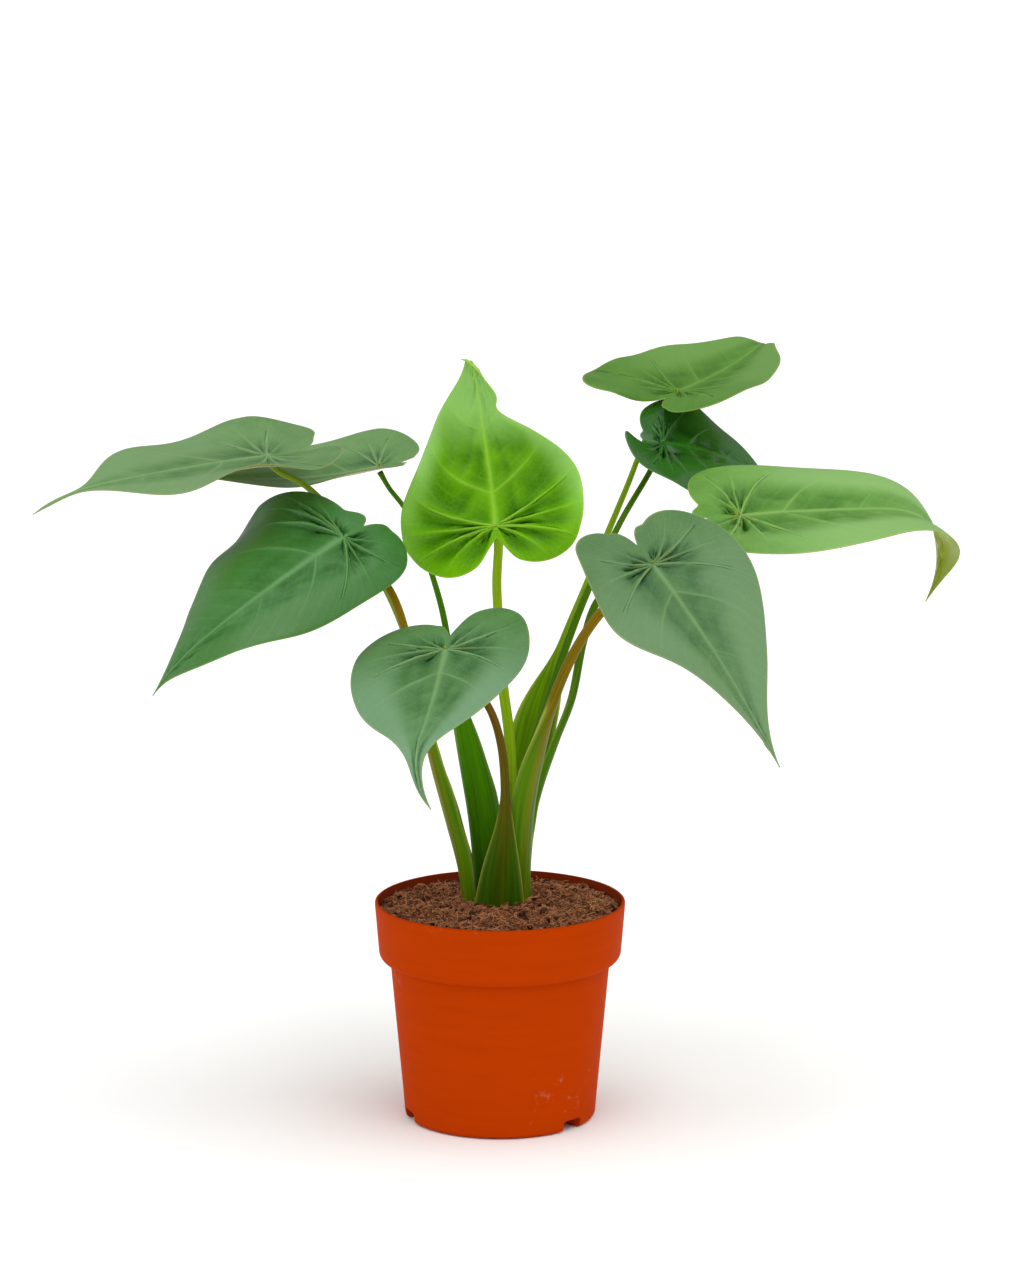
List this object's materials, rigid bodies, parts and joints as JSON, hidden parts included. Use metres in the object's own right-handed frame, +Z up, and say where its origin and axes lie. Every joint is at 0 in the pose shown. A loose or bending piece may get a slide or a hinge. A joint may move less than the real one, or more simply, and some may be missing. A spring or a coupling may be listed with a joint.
{
  "type": "potted plant",
  "caption": "Potted Chinese taro: heart-shaped leaves on sheathed stalks, in a round nursery pot with a deep collar, filled with potting mix.",
  "frame": {"origin": "Centre of the pot's underside, on the plane that the pot stands on.", "axes": "+Z up along the pot's axis; +X to the right and -Y towards the viewer in the front view, in which the young bright leaf faces the viewer."},
  "size_m": [0.4395, 0.3245, 0.3744],
  "materials": {
    "pot_plastic": "satin moulded polypropylene, orange terracotta colour",
    "potting_mix": "loose damp potting mix with coir fibres, fully matt",
    "corm_skin": "dry brown skin, matt",
    "leaf_green": "smooth waxy leaf, satin, mid green",
    "leaf_dark": "smooth waxy leaf, satin, dark green",
    "leaf_young": "new leaf, satin, bright yellow-green",
    "stalk_green": "smooth fleshy stalk, satin green",
    "stalk_brown": "smooth fleshy stalk, satin olive brown"
  },
  "bodies": {
    "root": {"pot": "pot_plastic", "soil": "potting_mix", "corm": "corm_skin", "leaf_1_blade": "leaf_green", "leaf_1_stalk": "stalk_green", "leaf_2_blade": "leaf_green", "leaf_2_stalk": "stalk_green", "leaf_3_blade": "leaf_dark", "leaf_3_stalk": "stalk_brown", "leaf_4_blade": "leaf_young", "leaf_4_stalk": "stalk_green", "leaf_5_blade": "leaf_green", "leaf_5_stalk": "stalk_brown", "leaf_6_blade": "leaf_green", "leaf_6_stalk": "stalk_brown", "leaf_7_blade": "leaf_green", "leaf_7_stalk": "stalk_green", "leaf_8_blade": "leaf_dark", "leaf_8_stalk": "stalk_green", "leaf_9_blade": "leaf_green", "leaf_9_stalk": "stalk_green"}
  },
  "joints": []
}
